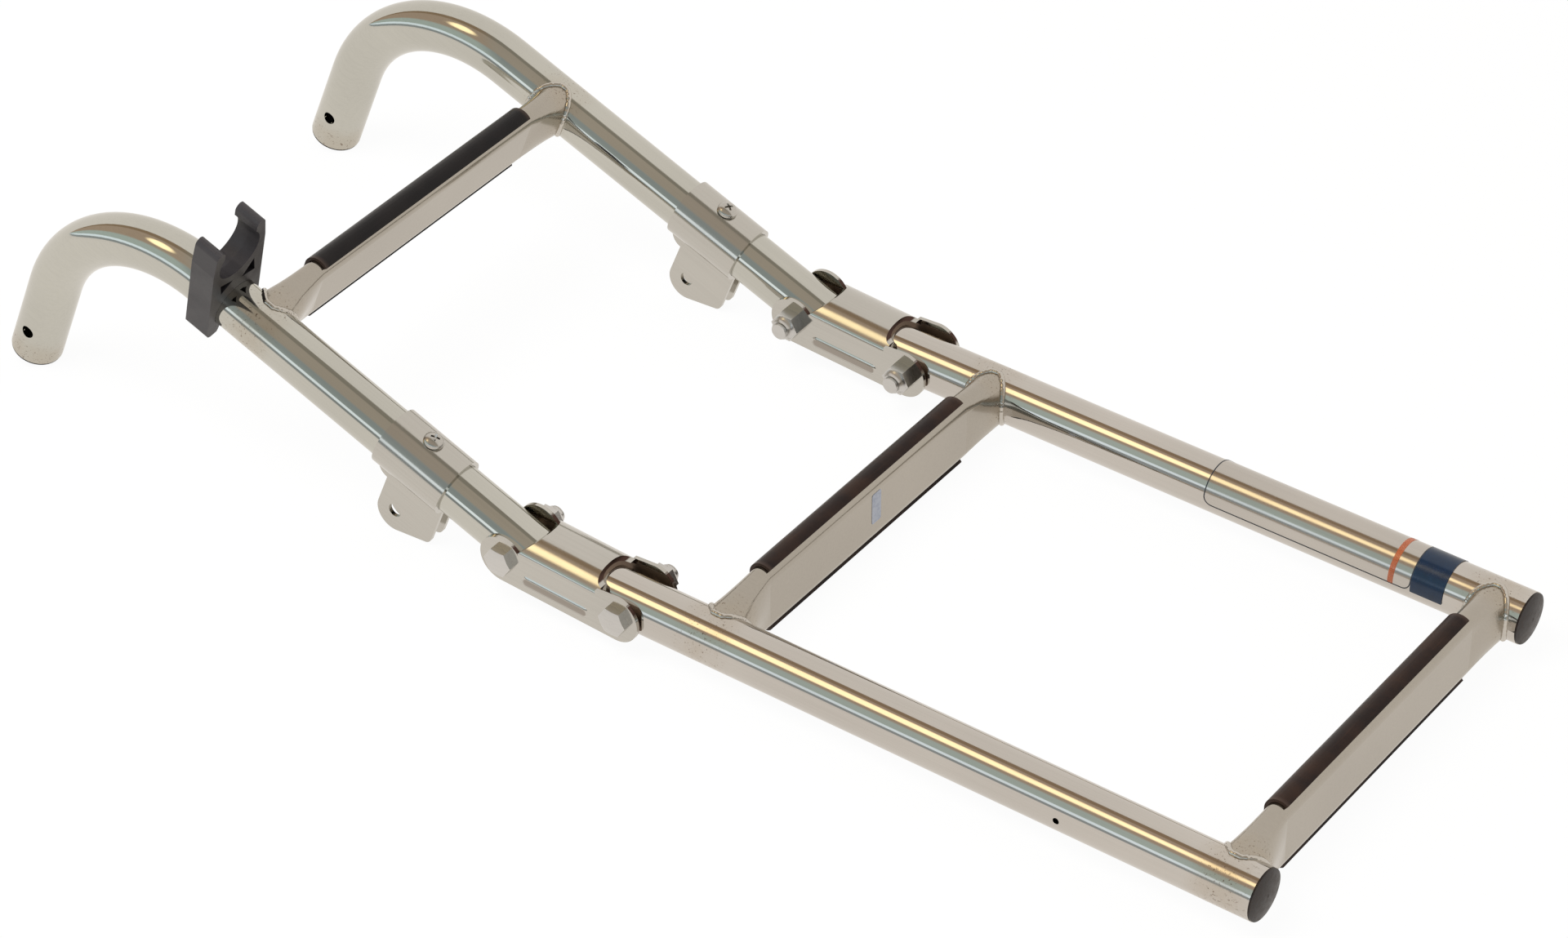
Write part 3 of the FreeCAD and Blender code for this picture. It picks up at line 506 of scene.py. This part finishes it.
def rubber_finish(name, dark, worn, dullness):
    """Dark rubber with worn patches, paler streaks along the rung and a little dust in its pores."""
    material, shader, place = new_shader(name)
    patch = noise(shader, place, per_metre=46.0, detail=4.0)
    streak = streaks(shader, place, RUBBER_STREAK_SIZE, detail=2.0)
    dust = noise(shader, place, per_metre=1900.0, detail=2.0, roughness=0.7)
    from_middle = (shader.part(place, 1) - pivots["upper_hinge"].y).maths("ABSOLUTE")
    # Paler brown over the last 3 mm at each cut end.
    cut_end = from_middle.ramp((TREAD_HALF_LENGTH - TREAD_END_LENGTH) * MM, TREAD_HALF_LENGTH * MM)
    paler = tuple(part * RUBBER_STREAK_SHADE for part in worn)
    shade = shader.blend(patch.ramp(0.35, 0.7), dark, worn)
    shade = shader.blend(streak.ramp(0.6, 0.8) * 0.35, shade, paler)
    shade = shader.blend(dust.ramp(0.68, 0.76) * 0.15, shade, DUST_COLOUR)
    shade = shader.blend(cut_end * 0.5, shade, TREAD_END_COLOUR)
    roughness = patch.ramp(0.3, 0.8) * 0.14 + dust.ramp(0.6, 0.75) * 0.15 + dullness
    finish_surface(shader, shade, roughness, dust + streak * 1.4, 0.35, Specular_IOR_Level=RUBBER_SHEEN)
    return material


top_rubber = rubber_finish("top_tread_rubber", **TOP_RUBBER)
lower_rubber = rubber_finish("lower_tread_rubber", **LOWER_RUBBER)
dress(top_rubber, "top_tread")
dress(lower_rubber, "middle_tread", "bottom_tread")
RIB_SIDES = 12
RIB_STATIONS = 25
RIB_END_SHARPNESS = 24.0
RIB_END_SIZE = 0.02


def rib_tree():
    """Geometry Nodes: a rib at each place, along the rung and sunk part way into the tread's face."""
    tree, maker, (places, radius, length, finish) = new_tree(
        "tread_ribs", {"Places": "Geometry", "Rib Radius": "Float", "Rib Length": "Float",
                       "Finish": "Material"}, "Ribs")
    half = length / 2
    start = maker.node("ShaderNodeCombineXYZ", 0.0, 0 - half, 0.0)
    end = maker.node("ShaderNodeCombineXYZ", 0.0, half, 0.0)
    bar = maker.node("GeometryNodeCurvePrimitiveLine", start, end)
    bar = maker.node("GeometryNodeResampleCurve", bar, Count=RIB_STATIONS)
    from_middle = (maker.node("GeometryNodeSplineParameter", output="Factor") * 2 - 1).maths("ABSOLUTE")
    taper = ((1 + RIB_END_SIZE) - from_middle.maths("POWER", RIB_END_SHARPNESS)).maths("SQRT")
    outline = maker.node("GeometryNodeCurvePrimitiveCircle", Resolution=RIB_SIDES, Radius=1.0)
    rib = maker.node("GeometryNodeCurveToMesh", bar, outline, Scale=radius * taper, Fill_Caps=True)
    rib = maker.node("GeometryNodeSetShadeSmooth", rib)
    end_tree(maker, maker.node("GeometryNodeInstanceOnPoints", places, Instance=rib), finish)
    return tree


TREAD_FACE = 7.25
RIB_COUNT = 6
RIB_PITCH = 4.2
RIB_SUNK = 0.35
RIB_SIZES = {"Rib Radius": 0.8 * MM, "Rib Length": 149.0 * MM}
rib_maker = rib_tree()
rib_rises = [(index - (RIB_COUNT - 1) / 2) * RIB_PITCH for index in range(RIB_COUNT)]
for body, section, reaches, rubber in (
        ("upper_frame", upper_place, [TOP_RUNG_REACH], top_rubber),
        ("lower_frame", lower_place, [MIDDLE_RUNG_REACH, BOTTOM_RUNG_REACH], lower_rubber)):
    spots = [frame_point(section, reach - TREAD_FACE + RIB_SUNK, 0, rise)
             for reach in reaches for rise in rib_rises]
    ribs = run_tree(f"tread_ribs_{body}", new_mesh("rib_places", spots), rib_maker,
                    {**RIB_SIZES, "Finish": rubber})
    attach(ribs, body)


# Blank sticker. A small plain pale strip is stuck on the foot-facing flat of the middle rung. It is thin
# paper under a clear face, with its corners cut round.
STICKER_WIDTH = 7.0
STICKER_HEIGHT = 17.0
STICKER_CORNER = 1.0
STICKER_THICKNESS = 0.18
STICKER_ACROSS = 4.6
STICKER_RISE = 2.4
STICKER_COLOUR = (0.42, 0.46, 0.55)
STICKER_SHADOW = (0.33, 0.37, 0.47)


def plate_mesh(name, outline, place_point, thickness):
    """A thin closed plate with this outline. place_point puts an outline point and a height in space."""
    count = len(outline)
    centre = sum(outline, Vector((0, 0))) / count
    points = [place_point(*point, height) for height in (0.0, thickness) for point in outline]
    points += [place_point(*centre, 0.0), place_point(*centre, thickness)]
    faces = []
    for index in range(count):
        following = (index + 1) % count
        faces.append((index, following, count + following, count + index))
        faces.append((following, index, 2 * count))
        faces.append((count + index, count + following, 2 * count + 1))
    return new_mesh(name, points, faces)


def rounded_outline(width, height, radius, steps=6):
    """The points of a rounded rectangle about its centre, counter-clockwise."""
    outline = []
    for corner, (across, up) in enumerate(((1, 1), (-1, 1), (-1, -1), (1, -1))):
        for step in range(steps + 1):
            angle = math.radians(90 * (corner + step / steps))
            outline.append(Vector((across * (width / 2 - radius) + radius * math.cos(angle),
                                   up * (height / 2 - radius) + radius * math.sin(angle))))
    return outline


def on_middle_rung(across, up, lift):
    reach = MIDDLE_RUNG_REACH + RUNG_THICKNESS / 2 + lift
    return frame_point(lower_place, reach, STICKER_ACROSS + across, STICKER_RISE + up)


def add_piece(name, mesh, material, body, smooth_angle=None):
    """A finished mesh as a piece of a body, its faces smooth where they meet at less than smooth_angle."""
    mesh.materials.clear()
    mesh.materials.append(material)
    if smooth_angle is not None:
        mesh.shade_smooth()
        mesh.set_sharp_from_angle(angle=math.radians(smooth_angle))
    piece = new_object(name, mesh)
    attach(piece, body)
    return piece


sticker_paper, shader, place = new_shader("sticker_paper")
fibre = noise(shader, place, per_metre=700.0, detail=3.0)
sticker_shade = shader.blend(fibre.ramp(0.4, 0.7), STICKER_COLOUR, STICKER_SHADOW)
finish_surface(shader, sticker_shade, fibre.ramp(0.4, 0.8) * 0.2 + 0.3, fibre, 0.15, relief_height=0.1)
sticker_outline = rounded_outline(STICKER_WIDTH, STICKER_HEIGHT, STICKER_CORNER)
add_piece("blank_sticker", plate_mesh("blank_sticker", sticker_outline, on_middle_rung, STICKER_THICKNESS),
          sticker_paper, "lower_frame")


# Stand-off straps and their screws. Polished sheet is wrapped over each rail, its legs running on below as
# two ears, and a pan-head screw with a cross recess holds it through the top of the rail.
SHEET_COLOUR = (0.585, 0.565, 0.52)
STRAP_DULLNESS = 0.11
SCREW_COLOUR = (0.57, 0.55, 0.51)
SCREW_DULLNESS = 0.22
SCREW_REACH = -59.0
SCREW_PROFILE = [(0, 8.8), (2.4, 8.8), (2.4, 14.8), (4.6, 14.8), (5.0, 15.2), (5.0, 15.9), (4.8, 16.5),
                 (4.2, 17.2), (3.2, 17.85), (2.0, 18.3), (1.0, 18.47), (0, 18.5)]
SCREW_STEPS = 48
SCREW_SMOOTH_ANGLE = 30
RECESS_HALF_LENGTH = 2.7
RECESS_HALF_WIDTH = 0.55
RECESS_DEPTH = 1.7
RECESS_ABOVE = 0.4
RECESS_FOOT_LENGTH_SHARE = 0.45
RECESS_FOOT_WIDTH_SHARE = 0.78
RECESS_TURN = {"left": 24, "right": 61}
strap_steel = steel_finish("strap_steel", UPPER_SLOPE, SHEET_COLOUR, STRAP_DULLNESS, FINE_LINE_DEPTH)
dress(strap_steel, "standoff_strap_left", "standoff_strap_right")
screw_steel = steel_finish("screw_steel", UPPER_SLOPE, SCREW_COLOUR, SCREW_DULLNESS, FINE_LINE_DEPTH)


def lathe_mesh(name, profile, steps, place_point):
    """A closed turned shape. The profile runs from the axis at the bottom to the axis at the top."""
    points, rings, faces = [], [], []
    for radius, height in profile:
        spokes = 1 if radius == 0 else steps
        rings.append([len(points) + index for index in range(spokes)])
        for index in range(spokes):
            angle = 2 * math.pi * index / spokes
            points.append(place_point(radius * math.cos(angle), radius * math.sin(angle), height))
    for low, high in zip(rings, rings[1:]):
        for index in range(steps):
            following = (index + 1) % steps
            corners = [low[index % len(low)], low[following % len(low)],
                       high[following % len(high)], high[index % len(high)]]
            faces.append(tuple(dict.fromkeys(corners)))
    return new_mesh(name, points, faces)


def recess_mesh(name, turn, place_point):
    """The punch for a cross recess: two crossed wedges, smaller at their foot."""
    crown = SCREW_PROFILE[-1][1]
    levels = ((crown - RECESS_DEPTH, RECESS_FOOT_WIDTH_SHARE, RECESS_FOOT_LENGTH_SHARE),
              (crown + RECESS_ABOVE, 1.0, 1.0))
    points, faces = [], []
    for quarter in (0, 90):
        first = len(points)
        angle = math.radians(turn + quarter)
        for height, width_share, length_share in levels:
            for across, along in ((-1, -1), (1, -1), (1, 1), (-1, 1)):
                x = across * RECESS_HALF_WIDTH * width_share
                y = along * RECESS_HALF_LENGTH * length_share
                points.append(place_point(x * math.cos(angle) - y * math.sin(angle),
                                          x * math.sin(angle) + y * math.cos(angle), height))
        faces += [tuple(first + corner for corner in face) for face in
                  ((3, 2, 1, 0), (4, 5, 6, 7), (0, 1, 5, 4), (1, 2, 6, 5), (2, 3, 7, 6), (3, 0, 4, 7))]
    return new_mesh(name, points, faces)


def at_screw(side):
    """Gives the function that puts a point of the screw on this side's strap."""
    def place_point(x, y, height):
        return frame_point(upper_place, SCREW_REACH + x, side * RAIL_HALF_SPACING + y, height)
    return place_point


for side_name, side in SIDES.items():
    blank_mesh = lathe_mesh("screw_blank", SCREW_PROFILE, SCREW_STEPS, at_screw(side))
    blank = new_object("screw_blank", blank_mesh)
    punch = new_object("recess_punch", recess_mesh("recess_punch", RECESS_TURN[side_name], at_screw(side)))
    cut = blank.modifiers.new("recess", "BOOLEAN")
    cut.object = punch
    cut.use_self = True
    screw_mesh = made_mesh(blank)
    bpy.data.objects.remove(punch)
    bpy.data.objects.remove(blank)
    screw = add_piece(f"cross_screw_{side_name}", screw_mesh, screw_steel, "upper_frame",
                      SCREW_SMOOTH_ANGLE)
    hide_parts(f"strap_screw_{side_name}")


# Stowage clip. A dark nylon moulding snapped over the climber's left rail, with a jaw on top that holds the
# folded lower rail. It has a fine moulded grain, paler where its edges have rubbed.
NYLON_COLOUR = (0.010, 0.009, 0.011)
NYLON_PALER = (0.021, 0.0195, 0.022)
NYLON_RUBBED = (0.07, 0.065, 0.07)
NYLON_SHEEN = 0.35
nylon, shader, place = new_shader("clip_nylon")
grain = noise(shader, place, per_metre=1500.0, detail=2.0)
flow = noise(shader, place, per_metre=90.0, detail=3.0, roughness=0.55)
edge_wear = shader.node("ShaderNodeNewGeometry", output="Pointiness").ramp(0.53, 0.62)
nylon_shade = shader.blend(flow.ramp(0.35, 0.7), NYLON_COLOUR, NYLON_PALER)
nylon_shade = shader.blend(edge_wear * 0.5, nylon_shade, NYLON_RUBBED)
finish_surface(shader, nylon_shade, flow.ramp(0.3, 0.8) * 0.14 + 0.36, grain + flow * 0.8, 0.3,
               Specular_IOR_Level=NYLON_SHEEN)
dress(nylon, "stowage_clip")


# Hinge brackets. Each is one stamping of polished sheet that straddles both tubes, an arched saddle over two
# cheeks with a bead pressed in each. Press work leaves it less mirror-like than the tube.
BRACKET_SLOPE = math.radians(3.169)
BRACKET_DULLNESS = 0.12
# Painted colours: shade between the cheeks, a dark reflection on the bead crests, shade on the cut edges.
INSIDE_SHADE_COLOUR = (0.27, 0.20, 0.15)
BEAD_CREST_REFLECTION_COLOUR = (0.36, 0.325, 0.285)
CUT_EDGE_SHADE_COLOUR = (0.085, 0.05, 0.04)
# Each painted mark fades over these millimetres, out from the rail's axis or up from the bolt at the foot
# end.
CHEEK_INNER_FACE = (13.6, 13.8)
BEAD_CREST = (15.9, 16.2)
CUT_EDGE_RISE = (5.0, 7.0)
INSIDE_RISE = (9.0, 10.0)
FACING_FOOT = (0.45, 0.6)


def ramp_over(distance, span):
    return distance.ramp(span[0] * MM, span[1] * MM)


def paint_bracket_shade(shader, place, shade, roughness):
    """Painted shade: the space between the cheeks is darkened and made rougher, and so are the sheet's cut
    edges over the bolt at the foot end. The crests of the beads are darkened as a painted dark reflection."""
    above_bolt = shader.part(place, 2) - pivots["lower_hinge"].z
    from_middle = (shader.part(place, 1) - pivots["upper_hinge"].y).maths("ABSOLUTE")
    from_rail = (from_middle - RAIL_HALF_SPACING * MM).maths("ABSOLUTE")
    towards_foot = shader.part(shader.node("ShaderNodeNewGeometry", output="True Normal"), 0)
    inside_shade = (1 - ramp_over(from_rail, CHEEK_INNER_FACE)) * (1 - ramp_over(above_bolt, INSIDE_RISE))
    # Painted shade on the sheet's cut edges that face the foot, over the bolt.
    edge_shade = towards_foot.ramp(*FACING_FOOT) * ramp_over(above_bolt, CUT_EDGE_RISE)
    # Painted shade: dark brown between the cheeks, up to the saddle.
    shade = shader.blend(inside_shade, shade, INSIDE_SHADE_COLOUR)
    # Painted reflection: the crests of the beads are darkened as if they mirrored a dark band.
    shade = shader.blend(ramp_over(from_rail, BEAD_CREST), shade, BEAD_CREST_REFLECTION_COLOUR)
    # Painted shade on the foot-end cut edges.
    shade = shader.blend(edge_shade, shade, CUT_EDGE_SHADE_COLOUR)
    return shade, roughness + edge_shade * 0.3 + inside_shade * 0.45


bracket_steel = steel_finish("bracket_steel", BRACKET_SLOPE, SHEET_COLOUR, BRACKET_DULLNESS,
                             FINE_LINE_DEPTH, marks=paint_bracket_shade)
dress(bracket_steel, "hinge_bracket_left", "hinge_bracket_right")


# Hinge bolts and nuts. Domed hexagon bolts pass through cheeks and tube, and lock nuts with a domed collar
# sit inboard. The last turns of each bolt's thread stand out of its collar.
BOLT_COLOUR = (0.66, 0.645, 0.62)
BOLT_DULLNESS = 0.30
BOLT_LINE_DEPTH = 0.12
THREAD_RADIUS = 3.95
THREAD_TURNS = 1.6
THREAD_STEPS = 40
THREAD_PITCH = 0.7
THREAD_START = 25.1
THREAD_SIZES = {"Bead Radius": 0.2 * MM, "Ripple Pitch": 1.0, "Ripple Depth": 0.0, "Step": 0.35 * MM}
bolt_steel = steel_finish("bolt_steel", 0.0, BOLT_COLOUR, BOLT_DULLNESS, BOLT_LINE_DEPTH)
fasteners = [f"{pivot}_{kind}_{side}"
             for pivot in ("upper", "lower") for kind in ("bolt", "nut") for side in SIDES]
dress(bolt_steel, *fasteners)


def thread_line(pivot, side):
    """The crest of a bolt's thread, from the collar's face outwards to the bolt's end."""
    line = []
    for index in range(int(THREAD_TURNS * THREAD_STEPS)):
        turns = index / THREAD_STEPS
        angle = 2 * math.pi * turns
        inboard = RAIL_HALF_SPACING - THREAD_START - THREAD_PITCH * turns
        line.append(pivot + Vector((THREAD_RADIUS * math.cos(angle), side * inboard,
                                    THREAD_RADIUS * math.sin(angle))) * MM)
    return line


thread_lines = [thread_line(pivots[hinge], side)
                for side in SIDES.values() for hinge in ("upper_hinge", "lower_hinge")]
threads = run_tree("bolt_thread_ends", line_mesh("thread_lines", thread_lines, False), bead_maker,
                   {**THREAD_SIZES, "Finish": bolt_steel})
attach(threads, "hinge_brackets")


# Label on the far lower rail. A clear film with a thin dark outline is wrapped round the tube, with a dark
# blue band across its foot end. It is left blank but for a plain orange stripe, and where it is clear it
# only softens what the steel under it reflects.
FILM_START = 166.4
FILM_END = 292.8
FILM_FROM = math.radians(38)
FILM_TO = math.radians(188)
FILM_LIFT = 0.15
FILM_THICKNESS = 0.08
FILM_CORNER = 4.5
FILM_COLUMNS = 40
FILM_ROWS = 60
FILM_SMOOTH_ANGLE = 40
FILM_MIDDLE = (FILM_START + FILM_END) / 2
FILM_WIDTH = (FILM_TO - FILM_FROM) * TUBE_RADIUS
BAND_START = 276.3
STRIPE_START = 264.6
STRIPE_END = 267.4
INK_LIFT = 0.09
INK_CORNER = 0.4
INK_SHADE = 0.82


def on_far_rail(along, round_way, lift):
    """A point on the far lower rail, from the film's middle: along the rail and over its surface."""
    angle = (FILM_FROM + FILM_TO) / 2 + round_way / TUBE_RADIUS
    radius = TUBE_RADIUS + FILM_LIFT + lift
    return frame_point(lower_place, FILM_MIDDLE + along, RAIL_HALF_SPACING + radius * math.cos(angle),
                       radius * math.sin(angle))


def wrapped_mesh(name, start, end, corner, lift):
    """A closed film over the rail from start to end, its corners cut round by this radius."""
    stations = [start + (end - start) * (1 - math.cos(math.pi * column / FILM_COLUMNS)) / 2
                for column in range(FILM_COLUMNS + 1)]
    points, faces = [], []
    for height in (lift, lift + FILM_THICKNESS):
        for station in stations:
            from_end = min(station - start, end - station)
            trim = corner - math.sqrt(max(corner ** 2 - max(corner - from_end, 0.0) ** 2, 0.0))
            reach = FILM_WIDTH / 2 - trim
            points += [on_far_rail(station - FILM_MIDDLE, reach * (2 * row / FILM_ROWS - 1), height)
                       for row in range(FILM_ROWS + 1)]
    layer = (FILM_COLUMNS + 1) * (FILM_ROWS + 1)

    def number(column, row, level):
        return level * layer + column * (FILM_ROWS + 1) + row

    for column in range(FILM_COLUMNS):
        for row in range(FILM_ROWS):
            square = ((column, row), (column + 1, row), (column + 1, row + 1), (column, row + 1))
            faces.append(tuple(number(*corner_place, 0) for corner_place in square))
            faces.append(tuple(number(*corner_place, 1) for corner_place in reversed(square)))
    rim = [(column, 0) for column in range(FILM_COLUMNS)]
    rim += [(FILM_COLUMNS, row) for row in range(FILM_ROWS)]
    rim += [(column, FILM_ROWS) for column in range(FILM_COLUMNS, 0, -1)]
    rim += [(0, row) for row in range(FILM_ROWS, 0, -1)]
    for first, second in zip(rim, rim[1:] + rim[:1]):
        faces.append((number(*first, 0), number(*first, 1), number(*second, 1), number(*second, 0)))
    return new_mesh(name, points, faces)


def ink_finish(name, colour, cover, dullness):
    """Ink printed on the film, let through a little where it is thin, with a faint orange-peel surface."""
    material, shader, place = new_shader(name)
    cloud = noise(shader, place, per_metre=240.0, detail=3.0)
    shade = shader.blend(cloud.ramp(0.35, 0.7), colour, tuple(part * INK_SHADE for part in colour))
    finish_surface(shader, shade, cloud.ramp(0.3, 0.8) * 0.1 + dullness, cloud, 0.04, Alpha=cover)
    return material


FILM_COLOUR = (0.575, 0.54, 0.495)
clear_film = steel_finish("clear_film", 0.0, FILM_COLOUR, dullness=0.115, line_depth=0.03)
band_ink = ink_finish("band_ink", (0.004, 0.020, 0.052), cover=0.97, dullness=0.16)
stripe_ink = ink_finish("stripe_ink", (0.60, 0.16, 0.06), cover=0.5, dullness=0.2)
outline_ink = ink_finish("outline_ink", (0.035, 0.04, 0.05), cover=0.85, dullness=0.2)
for name, start, end, corner, lift, finish in (
        ("label_film", FILM_START, FILM_END, FILM_CORNER, 0.0, clear_film),
        ("label_band", BAND_START, FILM_END, INK_CORNER, INK_LIFT, band_ink),
        ("label_stripe", STRIPE_START, STRIPE_END, INK_CORNER, INK_LIFT, stripe_ink)):
    add_piece(name, wrapped_mesh(name, start, end, corner, lift), finish, "lower_frame",
              FILM_SMOOTH_ANGLE)

OUTLINE_WIDTH = 0.55
OUTLINE_STEP = 1.0


def outline_mesh(name):
    """A thin closed ribbon that follows the film's edge from its hook end to the band."""
    length = BAND_START - FILM_START
    shift = (FILM_START + BAND_START) / 2 - FILM_MIDDLE
    outer = rounded_outline(length, FILM_WIDTH, FILM_CORNER)
    inner = rounded_outline(length - 2 * OUTLINE_WIDTH, FILM_WIDTH - 2 * OUTLINE_WIDTH,
                            FILM_CORNER - OUTLINE_WIDTH)
    fine_outer, fine_inner = [], []
    for index in range(len(outer)):
        following = (index + 1) % len(outer)
        parts = max(1, int((outer[following] - outer[index]).length / OUTLINE_STEP))
        for coarse, fine in ((outer, fine_outer), (inner, fine_inner)):
            fine += [coarse[index].lerp(coarse[following], part / parts) for part in range(parts)]
    points = [on_far_rail(point.x + shift, point.y, lift) for lift in (INK_LIFT, INK_LIFT + FILM_THICKNESS)
              for ring in (fine_outer, fine_inner) for point in ring]
    count = len(fine_outer)
    faces = []
    for index in range(count):
        following = (index + 1) % count
        for first, second in ((0, 1), (3, 2), (1, 3), (2, 0)):
            faces.append((first * count + index, second * count + index, second * count + following,
                          first * count + following))
    return new_mesh(name, points, faces)


add_piece("label_outline", outline_mesh("label_outline"), outline_ink, "lower_frame",
          FILM_SMOOTH_ANGLE)


# Caps and plugs. Dark brown plastic caps close the foot ends of the lower rails, and thin plugs close the
# hook tips. They are scuffed pale where they rub on deck and dock.
CAP_COLOUR = (0.012, 0.007, 0.006)
CAP_PALER = (0.026, 0.016, 0.012)
CAP_SPECK_COLOUR = (0.15, 0.11, 0.08)
CAP_SHEEN = 0.3
cap_plastic, shader, place = new_shader("plug_plastic")
scuff = noise(shader, place, per_metre=320.0, detail=4.0, roughness=0.7)
speck = noise(shader, place, per_metre=1400.0, detail=2.0)
cap_shade = shader.blend(scuff.ramp(0.4, 0.7), CAP_COLOUR, CAP_PALER)
cap_shade = shader.blend(speck.ramp(0.66, 0.76) * 0.3, cap_shade, CAP_SPECK_COLOUR)
finish_surface(shader, cap_shade, scuff.ramp(0.3, 0.8) * 0.2 + 0.3, scuff + speck * 0.6, 0.3,
               Specular_IOR_Level=CAP_SHEEN)
dress(cap_plastic, "end_cap_left", "end_cap_right", "hook_plug_left", "hook_plug_right")
